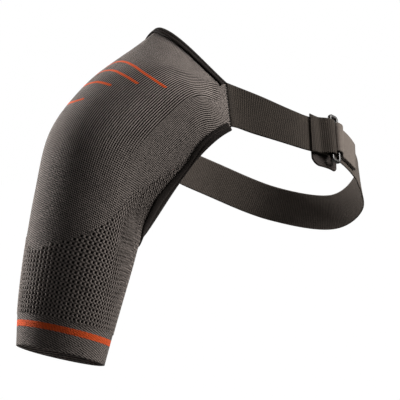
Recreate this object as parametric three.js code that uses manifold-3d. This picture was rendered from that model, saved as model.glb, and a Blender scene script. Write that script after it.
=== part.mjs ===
// A knitted shoulder brace, shown in its worn form: a short knitted sleeve with a shoulder cap for the
// right shoulder, bound edges, and a strap that runs round the chest, the far armpit and the back.
// Millimetres, +Z up. The origin is the seat on top of the shoulder; +X runs across the chest to the
// far side, and -Y is the wearer's front.

import * as THREE from "three";
import { mergeVertices } from "three/addons/utils/BufferGeometryUtils.js";
import Module from "manifold-3d";

const wasm = await Module();
wasm.setup();

// Knitted sleeve
const armDrop = 328; // shoulder seat to the middle of the hem, straight down
const capeReach = 92; // shoulder seat to the neck edge, sideways
const armBreadth = 128; // greatest breadth of the upper arm
const knitWall = 2;

// Bindings
const neckTapeWidth = 7;
const armholeTapeWidth = 11.5;
const tapeThickness = 1.4;
const tapeGap = 0.6; // clearance between the knit and the tape folded over its edge
const seamGap = 0.35; // clearance between sewn pieces
const tapeEndGap = 2.5; // each tape stops this far from a strap's seam

// Strap
const strapWidth = 44;
const strapThickness = 2;
const sewnWidth = 50; // where the strap is sewn to the sleeve
const tabWidth = 48; // the free end that folds back outside the ring
const tabLength = 31;
const taperLength = 90; // from the sewn width down to the strap's own width
const chestHalfBreadth = 160;
const chestHalfDepth = 112;
const strapFall = 150; // shoulder seat down to the far armpit's level, nearly
const chestOffset = 185; // shoulder seat to the breastbone, sideways
const chestForward = 17; // middle of the chest ahead of the shoulder seat

// Ring, its loop and its pad
const ringHeight = 62;
const ringLength = 17.5;
const ringBar = 4.5;
const ringCorner = 4;
const ringBevel = 1.2;
const barGap = 1.3; // clearance between a bar and the strap folded round it
const ringStation = 141; // along the strap from the front seam to the ring's near bar
const loopWidth = 38;
const loopLength = 50;
const loopThickness = 1.5;
const loopRise = 3;
const padLength = 50;
const padLead = 27; // the pad starts this far before the ring's near bar
const padDrop = 15; // how far the pad shows below the strap
const padThickness = 3;
const padCorner = 12;
const padSmallCorner = 4;
const padGap = 0.6;

// Fineness of the faceted surfaces
const columnsAround = 64;
const rowsAlong = 25;
const strapStep = 9;
const bendSteps = 8;

const V = (x, y, z) => new THREE.Vector3(x, y, z);
const mix = (a, b, t) => a + (b - a) * t;
const ease = (t) => THREE.MathUtils.smoothstep(t, 0, 1);

// Rings of the sleeve from the hem upwards. Each ring has an outer or top point, an inner point, and the
// place of its front and back extremes; x and z are shares of armDrop, front and back of armBreadth.
// Towards the armpit the upper rings fan out between the axilla ring and the armhole: fan is their share.
const ringTable = [
  { at: "hem", outX: -0.345, outZ: -0.945, inX: -0.04, inZ: -1.037, midX: -0.192, midZ: -0.992, front: 0.41, back: 0.4 },
  { at: "cuff", outX: -0.333, outZ: -0.81, inX: 0.002, inZ: -0.9, midX: -0.165, midZ: -0.855, front: 0.46, back: 0.44 },
  { at: "biceps", outX: -0.302, outZ: -0.62, inX: 0.062, inZ: -0.72, midX: -0.12, midZ: -0.665, front: 0.52, back: 0.47 },
  { at: "axilla", outX: -0.255, outZ: -0.4, inX: 0.105, inZ: -0.6, midX: -0.06, midZ: -0.47, front: 0.55, back: 0.48 },
  { at: "deltoid", outX: -0.19, outZ: -0.19, inX: 0.122, inZ: -0.57, midX: 0.02, midZ: -0.33, front: 0.6, back: 0.5, fan: 0.3 },
  { at: "seat", outX: -0.048, outZ: -0.036, inX: 0.127, inZ: -0.56, midX: 0.12, midZ: -0.22, front: 0.68, back: 0.52, fan: 0.56 },
  { at: "collar", outX: 0.12, outZ: 0.07, inX: 0.128, inZ: -0.553, midX: 0.215, midZ: -0.15, front: 0.76, back: 0.62, fan: 0.8 },
];

// The upper edge of the sleeve: neck top, the corners of both tips, the lowest point in the armpit, and
// the handles that bow the edges between them. x is a share of capeReach, y of armBreadth, z of armDrop.
const edgeTable = {
  neckTop: { x: 0.98, y: 0.04, z: 0.172 },
  armpit: { x: 0.47, y: 0.0, z: -0.55 },
  front: {
    ridgeHandle: { x: 1.0, y: -0.2, z: 0.155 },
    neckHandle: { x: 1.13, y: -0.48, z: 0.035 },
    tipTop: { x: 1.23, y: -0.7, z: -0.037 },
    tipBottom: { x: 1.14, y: -0.84, z: -0.195 },
    upperHandle: { x: 0.36, y: -0.8, z: -0.27 },
    lowerHandle: { x: 0.2, y: -0.34, z: -0.69 },
  },
  back: {
    ridgeHandle: { x: 1.02, y: 0.24, z: 0.16 },
    neckHandle: { x: 1.15, y: 0.46, z: 0.03 },
    tipTop: { x: 1.2, y: 0.62, z: -0.07 },
    tipBottom: { x: 1.12, y: 0.7, z: -0.225 },
    upperHandle: { x: 0.62, y: 0.68, z: -0.33 },
    lowerHandle: { x: 0.47, y: 0.4, z: -0.52 },
  },
};

// The strap's way round the chest, from the front tip to the back tip. x is a share of chestHalfBreadth
// from the breastbone, y of chestHalfDepth from the middle of the chest, z of strapFall below the seat.
// lean tips the strap's upper edge towards the body, in degrees.
const strapTable = [
  { at: "breastbone", x: 0.06, y: -1.01, z: -0.44, lean: 18 },
  { at: "ring", x: 0.42, y: -1.0, z: -0.53, lean: 17 },
  { at: "far breast", x: 0.75, y: -0.86, z: -0.72, lean: 14 },
  { at: "far side", x: 0.97, y: -0.6, z: -0.95, lean: 8 },
  { at: "far armpit", x: 1.04, y: -0.1, z: -1.12, lean: 0 },
  { at: "shoulder blade", x: 0.86, y: 0.62, z: -1.06, lean: 2 },
  { at: "far back", x: 0.45, y: 0.98, z: -0.86, lean: 6 },
  { at: "spine", x: 0.0, y: 1.04, z: -0.66, lean: 8 },
];

// Angles at which the grid meets the corners of the tips, and between which the upper rings start to fan.
const tipStart = THREE.MathUtils.degToRad(60);
const tipEnd = THREE.MathUtils.degToRad(90);
const fanStart = THREE.MathUtils.degToRad(72);
const fanEnd = THREE.MathUtils.degToRad(118);
const armholeCrowding = 1.2; // how much closer together the wales end towards the armpit
const wrap = (angle) => Math.atan2(Math.sin(angle), Math.cos(angle));

// Sleeve surface: a ring's point at an angle, 0 on top or outside, 180 degrees in the armpit.
function ringPoint(row, angle) {
  const free = ovalPoint(row, angle);
  if (!row.fan) return free;
  const axilla = ovalPoint(ringTable.find((other) => other.at === "axilla"), angle);
  const fanned = axilla.lerp(edgeLoopPoint(angle), row.fan);
  return free.lerp(fanned, ease((Math.abs(wrap(angle)) - fanStart) / (fanEnd - fanStart)));
}

function ovalPoint(row, angle) {
  const [c, s] = [Math.cos(angle), Math.sin(angle)];
  const middleX = (row.outX + row.inX) / 2;
  const middleZ = (row.outZ + row.inZ) / 2;
  const x = middleX + ((row.outX - row.inX) / 2) * c + (row.midX - middleX) * s ** 4;
  const z = middleZ + ((row.outZ - row.inZ) / 2) * c + (row.midZ - middleZ) * s ** 4;
  const depth = s > 0 ? row.front : row.back;
  return V(x * armDrop, -s * depth * armBreadth, z * armDrop);
}

const edgePoint = (p) => V(p.x * capeReach, p.y * armBreadth, p.z * armDrop);


function edgeLoopPoint(angle) {
  const side = Math.sin(angle) >= 0 ? edgeTable.front : edgeTable.back;
  const a = Math.abs(wrap(angle));
  const top = edgePoint(side.tipTop);
  const bottom = edgePoint(side.tipBottom);
  if (a <= tipStart) {
    const ridge = edgePoint(edgeTable.neckTop);
    const neck = new THREE.CubicBezierCurve3(ridge, edgePoint(side.ridgeHandle), edgePoint(side.neckHandle), top);
    return neck.getPoint(a / tipStart);
  }
  if (a <= tipEnd) return top.clone().lerp(bottom, (a - tipStart) / (tipEnd - tipStart));
  const armhole = new THREE.CubicBezierCurve3(
    bottom,
    edgePoint(side.upperHandle),
    edgePoint(side.lowerHandle),
    edgePoint(edgeTable.armpit),
  );
  return armhole.getPoint(1 - (1 - (a - tipEnd) / (Math.PI - tipEnd)) ** armholeCrowding);
}

// A wale of the sleeve: the curve from the hem to the upper edge at one angle.
const wales = new Map();
function wale(angle) {
  if (!wales.has(angle)) {
    const points = ringTable.map((row) => ringPoint(row, angle));
    points.push(edgeLoopPoint(angle));
    wales.set(angle, new THREE.CatmullRomCurve3(points, false, "centripetal"));
  }
  return wales.get(angle);
}

const skin = (angle, share) => wale(angle).getPointAt(Math.min(share, 1));

// The outer face's two tangents at a place given by its angle and its share of the wale.
function tangents(angle, share) {
  const turn = THREE.MathUtils.degToRad(0.5);
  const low = Math.min(share, 0.99) - 0.005;
  const around = skin(angle + turn, share).sub(skin(angle - turn, share)).divideScalar(2 * turn);
  const along = skin(angle, low + 0.01).sub(skin(angle, low)).divideScalar(0.01);
  return { around, along, out: around.clone().cross(along).normalize() };
}

// Walks from the upper edge into the knit, square to the edge, and gives the place reached and its normal.
function fromEdge(angle, distance) {
  let share = 1;
  let place = { point: skin(angle, share), out: tangents(angle, share).out };
  let here = angle;
  const edge = skin(angle + 0.01, 1).sub(skin(angle - 0.01, 1)).normalize();
  const steps = Math.ceil(distance / 3);
  for (let k = 0; k < steps; k++) {
    const t = tangents(here, share);
    const inward = edge.clone().cross(t.out).normalize().multiplyScalar(distance / steps);
    if (inward.dot(t.along) > 0) inward.negate();
    const [aa, bb, ab] = [t.around.lengthSq(), t.along.lengthSq(), t.around.dot(t.along)];
    const [p, q] = [t.around.dot(inward), t.along.dot(inward)];
    const det = aa * bb - ab * ab;
    here += (p * bb - q * ab) / det;
    share += (q * aa - p * ab) / det;
    place = { point: skin(here, share), out: tangents(here, share).out };
  }
  return place;
}

// Grid of points on the sleeve's outer face, with equal steps along each wale.
function sleeveGrid() {
  const grid = [];
  for (let i = 0; i < columnsAround; i++) {
    const angle = (i / columnsAround) * 2 * Math.PI;
    grid.push(wale(angle).getSpacedPoints(rowsAlong));
  }
  return grid;
}

// Unit normals of a grid that closes on itself around, pointing out of the sleeve.
function gridNormals(grid) {
  const n = grid.length;
  return grid.map((line, i) =>
    line.map((point, j) => {
      const around = grid[(i + 1) % n][j].clone().sub(grid[(i + n - 1) % n][j]);
      const along = line[Math.min(j + 1, line.length - 1)].clone().sub(line[Math.max(j - 1, 0)]);
      return around.cross(along).normalize();
    }),
  );
}

// Closed body from closed loops of points: loops[k] is joined to loops[k + 1], and the ends are capped
// unless the last loop joins the first.
function bodyFromLoops(loops, { closed = false } = {}) {
  const size = loops[0].length;
  const positions = loops.flat().flatMap((p) => [p.x, p.y, p.z]);
  const index = [];
  const last = closed ? loops.length : loops.length - 1;
  for (let k = 0; k < last; k++) {
    for (let i = 0; i < size; i++) {
      const j = (i + 1) % size;
      const [a, b] = [k * size + i, k * size + j];
      const next = ((k + 1) % loops.length) * size;
      const [c, d] = [next + j, next + i];
      index.push(a, b, c, a, c, d);
    }
  }
  if (!closed) {
    for (let i = 1; i < size - 1; i++) {
      index.push(0, i + 1, i);
      const end = (loops.length - 1) * size;
      index.push(end, end + i, end + i + 1);
    }
  }
  const geometry = new THREE.BufferGeometry();
  geometry.setAttribute("position", new THREE.Float32BufferAttribute(positions, 3));
  geometry.setIndex(index);
  return outwards(geometry);
}

// Turns a body's faces round if they point inwards.
function outwards(geometry) {
  const p = geometry.getAttribute("position");
  const index = geometry.index.array;
  const [a, b, c] = [V(), V(), V()];
  let volume = 0;
  for (let i = 0; i < index.length; i += 3) {
    a.fromBufferAttribute(p, index[i]);
    b.fromBufferAttribute(p, index[i + 1]);
    c.fromBufferAttribute(p, index[i + 2]);
    volume += a.dot(b.cross(c));
  }
  if (volume < 0) {
    for (let i = 0; i < index.length; i += 3) [index[i + 1], index[i + 2]] = [index[i + 2], index[i + 1]];
  }
  geometry.computeVertexNormals();
  return geometry;
}

const root = new THREE.Group();

function addMesh(name, geometry, material) {
  const mesh = new THREE.Mesh(geometry, material);
  mesh.name = name;
  root.add(mesh);
  return mesh;
}

const finish = (color, roughness, metalness = 0) =>
  new THREE.MeshStandardMaterial({ color, roughness, metalness });
const knit = finish(0x5a524e, 0.95);
const tape = finish(0x231d1a, 0.9);
const elastic = finish(0x3b342e, 0.9);
const velour = finish(0x6b6158, 0.95);
const padding = finish(0x2e2624, 0.95);
const glossPlastic = finish(0x1a1614, 0.25);

// The knitted wall as a closed body, grown by a clearance on both faces and past the upper edge.
function knitBody(grown) {
  const outer = sleeveGrid();
  const normals = gridNormals(outer);
  const loops = outer.map((line, i) => {
    const [before, after] = [outer.at(i - 1).at(-1), outer[(i + 1) % outer.length].at(-1)];
    const rim = after.clone().sub(before).cross(normals[i].at(-1)).setLength(grown);
    if (rim.dot(line.at(-1).clone().sub(line.at(-2))) < 0) rim.negate();
    const face = (depth) =>
      line.map((p, j) => {
        const point = p.clone().addScaledVector(normals[i][j], depth);
        return grown && j === line.length - 1 ? point.add(rim) : point;
      });
    return [...face(grown), ...face(-knitWall - grown).reverse()];
  });
  return bodyFromLoops(loops, { closed: true });
}

// A solid of the geometry that can be cut, and back again.
function solidOf(geometry) {
  const bare = geometry.clone();
  bare.deleteAttribute("normal");
  const merged = mergeVertices(bare, 1e-4);
  return new wasm.Manifold(
    new wasm.Mesh({
      numProp: 3,
      vertProperties: merged.getAttribute("position").array,
      triVerts: new Uint32Array(merged.index.array),
    }),
  );
}

function geometryOf(solid) {
  const mesh = solid.getMesh();
  const geometry = new THREE.BufferGeometry();
  geometry.setAttribute("position", new THREE.Float32BufferAttribute(mesh.vertProperties, 3));
  geometry.setIndex(Array.from(mesh.triVerts));
  geometry.computeVertexNormals();
  return geometry;
}

// Outer section of a tape folded over the knit's edge. "in" runs from the edge into the knit, "out" away
// from its outer face.
function tapeSection(width) {
  const over = tapeGap + tapeThickness;
  const half = width / 2;
  return [
    { in: width, out: over },
    { in: half, out: over },
    { in: 0, out: over },
    { in: -over, out: 0 },
    { in: -over, out: -knitWall },
    { in: 0, out: -knitWall - over },
    { in: half, out: -knitWall - over },
    { in: width, out: -knitWall - over },
  ];
}

// The angle at a distance along the edge from a corner, going by steps of the given sign.
function angleFromCorner(corner, distance, sign) {
  const step = THREE.MathUtils.degToRad(0.25) * sign;
  let angle = corner;
  let gone = 0;
  while (gone < distance) {
    gone += skin(angle, 1).distanceTo(skin(angle + step, 1));
    angle += step;
  }
  return angle;
}

// The largest separate body of a cut solid: what a cut leaves of a facet's corner is dropped.
function largest(solid) {
  return solid.decompose().sort((a, b) => b.volume() - a.volume())[0];
}

// A tape along the edge between two angles, with a station at each of the sleeve's columns.
function buildTape(name, first, last, width) {
  const columnStep = (2 * Math.PI) / columnsAround;
  const from = angleFromCorner(first, tapeEndGap, 1);
  const to = angleFromCorner(last, tapeEndGap, -1);
  const angles = [from];
  for (let k = Math.ceil(from / columnStep + 0.25); k * columnStep < to - 0.25 * columnStep; k++) {
    angles.push(k * columnStep);
  }
  angles.push(to);
  const loops = angles.map((angle) => {
    const rim = fromEdge(angle, 0);
    const inside = { [width / 2]: fromEdge(angle, width / 2), [width]: fromEdge(angle, width) };
    const outward = rim.point.clone().sub(fromEdge(angle, 2).point).normalize();
    return tapeSection(width).map((corner) => {
      const place = inside[corner.in];
      if (place) return place.point.clone().addScaledVector(place.out, corner.out);
      return rim.point.clone().addScaledVector(outward, -corner.in).addScaledVector(rim.out, corner.out);
    });
  });
  const band = solidOf(bodyFromLoops(loops)).subtract(solidOf(knitBody(tapeGap)));
  addMesh(name, geometryOf(largest(band)), tape);
}

// The strap's way round the chest. Its frame at a distance s from the front seam has the outer face's
// centre, the direction up across the strap and the direction out of the body.
function tipFrame(sign) {
  const [top, bottom] = [skin(tipStart * sign, 1), skin(tipEnd * sign, 1)];
  const t = tangents(((tipStart + tipEnd) / 2) * sign, 1);
  const up = top.clone().sub(bottom).normalize();
  const away = up.clone().cross(t.out).multiplyScalar(sign).normalize();
  const centre = top.clone().add(bottom).multiplyScalar(0.5).addScaledVector(away, 2 * seamGap);
  return { centre, up, out: t.out, away };
}
const frontTip = tipFrame(1);
const backTip = tipFrame(-1);
const leadOff = 9; // the strap leaves each seam straight for this far
const stationPoint = (row) =>
  V(chestOffset + row.x * chestHalfBreadth, row.y * chestHalfDepth - chestForward, row.z * strapFall);
const route = new THREE.CatmullRomCurve3(
  [
    frontTip.centre,
    frontTip.centre.clone().addScaledVector(frontTip.away, leadOff),
    ...strapTable.map(stationPoint),
    backTip.centre.clone().addScaledVector(backTip.away, leadOff),
    backTip.centre,
  ],
  false,
  "centripetal",
);
route.arcLengthDivisions = 800;
const routeLength = route.getLength();

// The lean at a distance along the route, eased between the table's stations.
function leanAt(s) {
  const t = route.getUtoTmapping(s / routeLength) * (strapTable.length + 3);
  const k = THREE.MathUtils.clamp(Math.floor(t - 2), 0, strapTable.length - 2);
  const share = THREE.MathUtils.clamp(t - 2 - k, 0, 1);
  return THREE.MathUtils.degToRad(mix(strapTable[k].lean, strapTable[k + 1].lean, share));
}

function routeFrame(s) {
  const u = s / routeLength;
  const along = route.getTangentAt(u);
  const level = along.clone().cross(V(0, 0, 1)).normalize();
  const rise = level.clone().cross(along);
  const lean = leanAt(s);
  const up = rise.clone().multiplyScalar(Math.cos(lean)).addScaledVector(level, -Math.sin(lean));
  const out = along.clone().cross(up);
  const settle = strapWidth * 1.2;
  for (const [tip, distance] of [[frontTip, s], [backTip, routeLength - s]]) {
    const share = 1 - ease(distance / settle);
    up.lerp(tip.up, share);
    out.lerp(tip.out, share);
  }
  return { centre: route.getPointAt(u), along, up: up.normalize(), out: out.normalize() };
}

// Place of a point of the strap: s along it, out from its outer face, across it upwards.
function onRoute(s, out, across) {
  const f = routeFrame(THREE.MathUtils.clamp(s, 0, routeLength));
  return f.centre.addScaledVector(f.out, out).addScaledVector(f.up, across);
}

// A strip of webbing along stations { s, out, width, rise }, where out is the place of its middle line.
function strip(stations, thickness) {
  const loops = stations.map((here, k) => {
    const before = stations[Math.max(k - 1, 0)];
    const after = stations[Math.min(k + 1, stations.length - 1)];
    const run = Math.hypot(after.s - before.s, after.out - before.out);
    const side = { s: -(after.out - before.out) / run, out: (after.s - before.s) / run };
    const corner = (face, edge) =>
      onRoute(
        here.s + (side.s * face * thickness) / 2,
        here.out + (side.out * face * thickness) / 2,
        (edge * here.width) / 2 + here.rise,
      );
    return [corner(1, 1), corner(1, -1), corner(-1, -1), corner(-1, 1)];
  });
  return bodyFromLoops(loops);
}

// Stations of a straight stretch of strap, both ends included.
function run(from, to, widthAt) {
  const count = Math.max(1, Math.round(Math.abs(to - from) / strapStep));
  return Array.from({ length: count + 1 }, (_, k) => {
    const s = mix(from, to, k / count);
    return { s, out: -strapThickness / 2, width: widthAt(s), rise: 0 };
  });
}

// Ring: its bars lie between these distances out of the strap's face.
const barMiddle = loopThickness + seamGap + barGap + ringBar / 2;
const nearBar = ringStation;
const farBar = ringStation + ringLength - ringBar;

// Half turn round a bar, from under it to over it, on the side given by sign.
function bend(bar, thickness, sign, width, rise) {
  const radius = ringBar / 2 + barGap + thickness / 2;
  return Array.from({ length: bendSteps + 1 }, (_, k) => {
    const angle = Math.PI * (k / bendSteps - 0.5);
    return { s: bar + sign * radius * Math.cos(angle), out: barMiddle + radius * Math.sin(angle), width, rise };
  });
}

function buildFrontStrap() {
  const settle = ringLength * 0.9; // length over which a folded layer comes down from the bar
  const widthAt = (s) => mix(sewnWidth, strapWidth, ease(s / taperLength));
  const under = run(0, nearBar - settle, widthAt);
  const middle = strapThickness + seamGap - strapThickness / 2;
  const over = [];
  const count = Math.round(tabLength / strapStep) + 1;
  for (let k = 0; k <= count; k++) {
    const share = k / count;
    const s = mix(nearBar - ringBar * 0.6, nearBar - tabLength, share);
    const drop = ease((nearBar - s - ringBar * 0.6) / settle);
    const bendTop = barMiddle + ringBar / 2 + barGap + strapThickness / 2;
    over.push({ s, out: mix(bendTop, middle, drop), width: mix(strapWidth, tabWidth, share), rise: 1.5 * share });
  }
  const stations = [...under, ...bend(nearBar, strapThickness, 1, strapWidth, 0), ...over];
  addMesh("front_strap", strip(stations, strapThickness), elastic);
}

function buildBackStrap() {
  const start = farBar - ringBar;
  const widthAt = (s) => mix(strapWidth, sewnWidth, ease((s - routeLength + taperLength) / taperLength));
  addMesh("back_strap", strip(run(start, routeLength, widthAt), strapThickness), elastic);
}

function buildRingLoop() {
  const settle = ringLength * 0.8;
  const innerMiddle = 2 * seamGap + loopThickness / 2;
  const outerMiddle = innerMiddle + loopThickness + seamGap;
  const bendTop = barMiddle + ringBar / 2 + barGap + loopThickness / 2;
  const end = farBar + loopLength;
  const count = Math.round(loopLength / strapStep) + 1;
  const inner = [];
  const outer = [];
  for (let k = 0; k <= count; k++) {
    const share = k / count;
    inner.push({ s: mix(end, farBar + ringBar, share), out: innerMiddle, width: loopWidth, rise: loopRise });
    const s = mix(farBar + ringBar * 0.6, end, share);
    const drop = ease((s - farBar - ringBar * 0.6) / settle);
    outer.push({ s, out: mix(bendTop, outerMiddle, drop), width: loopWidth, rise: loopRise });
  }
  const stations = [...inner, ...bend(farBar, loopThickness, -1, loopWidth, loopRise), ...outer];
  addMesh("ring_loop", strip(stations, loopThickness), velour);
}

function roundedOutline(path, halfLength, halfHeight, radius) {
  path.moveTo(-halfLength + radius, -halfHeight);
  path.lineTo(halfLength - radius, -halfHeight);
  path.absarc(halfLength - radius, -halfHeight + radius, radius, -Math.PI / 2, 0);
  path.lineTo(halfLength, halfHeight - radius);
  path.absarc(halfLength - radius, halfHeight - radius, radius, 0, Math.PI / 2);
  path.lineTo(-halfLength + radius, halfHeight);
  path.absarc(-halfLength + radius, halfHeight - radius, radius, Math.PI / 2, Math.PI);
  path.lineTo(-halfLength, -halfHeight + radius);
  path.absarc(-halfLength + radius, -halfHeight + radius, radius, Math.PI, 1.5 * Math.PI);
  return path;
}

function buildRing() {
  const [hl, hh] = [ringLength / 2 - ringBevel, ringHeight / 2 - ringBevel];
  const bar = ringBar - 2 * ringBevel;
  const shape = roundedOutline(new THREE.Shape(), hl, hh, ringCorner);
  shape.holes.push(roundedOutline(new THREE.Path(), hl - bar, hh - bar, ringCorner - bar / 2));
  const geometry = new THREE.ExtrudeGeometry(shape, {
    depth: ringBar - 2 * ringBevel,
    bevelSize: ringBevel,
    bevelThickness: ringBevel,
    bevelSegments: 2,
    curveSegments: 4,
  });
  geometry.translate(0, 0, -(ringBar - 2 * ringBevel) / 2);
  const mesh = addMesh("buckle_ring", geometry, glossPlastic);
  const [near, far] = [onRoute(nearBar, barMiddle, 0), onRoute(farBar, barMiddle, 0)];
  const along = far.clone().sub(near).normalize();
  const up = routeFrame((nearBar + farBar) / 2).up;
  up.addScaledVector(along, -up.dot(along)).normalize();
  mesh.applyMatrix4(new THREE.Matrix4().makeBasis(along, up, along.clone().cross(up)));
  mesh.position.copy(near.lerp(far, 0.5));
}

// Pad under the ring, bent along the strap's way, with a large rounded corner below its near end.
function buildPad() {
  const top = strapWidth / 2 - padSmallCorner;
  const bottom = -strapWidth / 2 - padDrop;
  const from = nearBar - padLead;
  const face = -strapThickness - padGap;
  const cut = (distance, radius) =>
    distance < radius ? radius - Math.sqrt(radius * radius - (radius - distance) ** 2) : 0;
  const count = 16;
  const rows = 5;
  const loops = [];
  for (let k = 0; k <= count; k++) {
    const x = padLength * (0.5 - 0.5 * Math.cos((Math.PI * k) / count)) ;
    const inset = Math.min(Math.max(x, 0.35), padLength - 0.35);
    const low = bottom + cut(inset, padCorner) + cut(padLength - inset, padSmallCorner);
    const high = top - cut(inset, padSmallCorner) - cut(padLength - inset, padSmallCorner);
    const line = (out, a, b) =>
      Array.from({ length: rows + 1 }, (_, r) => onRoute(from + x, out, mix(a, b, r / rows)));
    loops.push([...line(face, low, high), ...line(face - padThickness, high, low)]);
  }
  addMesh("buckle_pad", bodyFromLoops(loops), padding);
}

addMesh("knit_sleeve", knitBody(0), knit);
buildTape("neck_binding", -tipStart, tipStart, neckTapeWidth);
buildTape("armhole_binding", tipEnd, 2 * Math.PI - tipEnd, armholeTapeWidth);
buildFrontStrap();
buildRing();
buildRingLoop();
buildPad();
buildBackStrap();

export default root;
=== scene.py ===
"""Knitted shoulder brace with an elastic chest strap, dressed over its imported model. Metres, +Z up."""

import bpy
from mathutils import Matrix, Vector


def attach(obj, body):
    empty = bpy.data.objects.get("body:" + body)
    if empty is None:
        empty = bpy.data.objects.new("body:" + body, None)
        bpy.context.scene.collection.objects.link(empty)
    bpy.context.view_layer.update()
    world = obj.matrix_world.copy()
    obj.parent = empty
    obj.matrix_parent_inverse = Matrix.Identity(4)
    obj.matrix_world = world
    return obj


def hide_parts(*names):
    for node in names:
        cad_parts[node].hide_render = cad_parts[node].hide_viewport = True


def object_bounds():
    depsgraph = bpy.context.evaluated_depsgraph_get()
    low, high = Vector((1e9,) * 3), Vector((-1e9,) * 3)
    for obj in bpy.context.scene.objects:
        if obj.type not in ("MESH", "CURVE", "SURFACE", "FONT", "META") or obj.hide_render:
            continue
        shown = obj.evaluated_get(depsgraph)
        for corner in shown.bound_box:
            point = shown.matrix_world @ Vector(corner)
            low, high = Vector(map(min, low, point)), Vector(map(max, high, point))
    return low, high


bl_info = {
    "name": "Shoulder Brace",
    "version": (1, 0, 0),
    "blender": (4, 5, 0),
    "location": "View3D > Sidebar > Brace",
    "description": "Builds the knitted sleeve, its bindings, the chest strap with its ring, and a studio",
    "category": "Add Mesh",
}

from math import cos, exp, pi, radians, sin, tau

import bmesh
import bpy
import numpy as np
from mathutils import Vector

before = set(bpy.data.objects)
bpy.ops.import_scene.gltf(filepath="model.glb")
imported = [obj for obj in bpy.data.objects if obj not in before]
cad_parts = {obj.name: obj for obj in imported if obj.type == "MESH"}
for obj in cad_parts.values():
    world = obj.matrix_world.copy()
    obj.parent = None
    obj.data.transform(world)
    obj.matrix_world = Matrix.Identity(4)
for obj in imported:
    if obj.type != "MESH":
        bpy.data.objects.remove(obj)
CAD_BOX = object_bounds()
MM = 0.001

# Sizes in millimetres, as in the part's source, apart from the tapes' widths and end gap, the spread
# at the sewn end and the pad's far corner
ARM_DROP, CAPE_REACH, ARM_BREADTH, KNIT_WALL, RIM_CROWN = 328.0, 92.0, 128.0, 2.0, 0.35
# Plain knit between the stripe and the dimples, and along the upper edge
PLAIN_OVER_STRIPE, PLAIN_MARGIN = 5.5, 9.0
FAR_AWAY = 20.0
TAPE_THICKNESS, TAPE_GAP = 1.4, 0.6
# Width of the tapes on the knit: degrees round the edge, millimetres
NECK_TAPE = ([-180, 180], [9.5, 9.5])
ARMHOLE_TAPE = ([90, 100, 110, 120, 130, 140, 152, 168], [8.0, 9.0, 12.5, 18.0, 22.5, 24.0, 19.0, 11.5])
SEAM_GAP, TAPE_END_GAP = 0.35, 1.2
STRAP_WIDTH, STRAP_THICKNESS, STRAP_LEAD = 44.0, 2.0, 9.0
SEWN_WIDTH, TAPER_LENGTH, SEWN_SPREAD, SPREAD_FADE = 50.0, 90.0, 6.0, 30.0
STITCH_PITCH = 2.4
TAB_WIDTH, TAB_LENGTH, STRAP_FALL = 48.0, 31.0, 150.0
CHEST_HALF_BREADTH, CHEST_HALF_DEPTH, CHEST_OFFSET, CHEST_FORWARD = 160.0, 112.0, 185.0, 17.0
RING_HEIGHT, RING_LENGTH, RING_BAR, RING_CORNER, BAR_GAP, RING_STATION = 62.0, 17.5, 4.5, 4.0, 1.3, 141.0
LOOP_WIDTH, LOOP_LENGTH, LOOP_THICKNESS, LOOP_RISE = 38.0, 50.0, 1.5, 3.0
PAD_LENGTH, PAD_LEAD, PAD_DROP, PAD_THICKNESS, PAD_GAP = 50.0, 27.0, 15.0, 3.0, 0.6
PAD_CORNER, PAD_FAR_CORNER, PAD_TOP_CORNER = 12.0, 7.2, 4.0
TIP_START, TIP_END, FAN_START, FAN_END, CROWDING = radians(60), radians(90), radians(72), radians(118), 1.2

RINGS = [  # outer x, outer z, inner x, inner z, middle x, middle z, front, back, fan
    (-0.345, -0.945, -0.04, -1.037, -0.192, -0.992, 0.41, 0.4, 0.0),
    (-0.333, -0.81, 0.002, -0.9, -0.165, -0.855, 0.46, 0.44, 0.0),
    (-0.302, -0.62, 0.062, -0.72, -0.12, -0.665, 0.52, 0.47, 0.0),
    (-0.255, -0.4, 0.105, -0.6, -0.06, -0.47, 0.55, 0.48, 0.0),
    (-0.19, -0.19, 0.122, -0.57, 0.02, -0.33, 0.6, 0.5, 0.3),
    (-0.048, -0.036, 0.127, -0.56, 0.12, -0.22, 0.68, 0.52, 0.56),
    (0.12, 0.07, 0.128, -0.553, 0.215, -0.15, 0.76, 0.62, 0.8),
]
AXILLA = 3
NECK_TOP, ARMPIT = (0.98, 0.04, 0.172), (0.47, 0.0, -0.55)
FRONT_EDGE = [
    (1.0, -0.2, 0.155), (1.13, -0.48, 0.035), (1.23, -0.7, -0.037),
    (1.14, -0.84, -0.195), (0.36, -0.8, -0.27), (0.2, -0.34, -0.69),
]
BACK_EDGE = [
    (1.02, 0.24, 0.16), (1.15, 0.46, 0.03), (1.2, 0.62, -0.07),
    (1.12, 0.7, -0.225), (0.62, 0.68, -0.33), (0.47, 0.4, -0.52),
]
STRAP_STATIONS = [  # x, y, z, lean in degrees
    (0.06, -1.01, -0.44, 18), (0.42, -1.0, -0.53, 17),
    (0.75, -0.86, -0.72, 14), (0.97, -0.6, -0.95, 8), (1.04, -0.1, -1.12, 0),
    (0.86, 0.62, -1.06, 2), (0.45, 0.98, -0.86, 6), (0.0, 1.04, -0.66, 8),
]

# Where the dimpled knit ends above: degrees from the sleeve's outside, millimetres from the hem
DIMPLED_TOP = (
    [0, 20, 36, 57, 73, 84, 86.5, 94.5, 98, 100, 112],
    [107, 117, 125, 138, 157, 174, 193, 215, 233, 249, 420],
)
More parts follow.
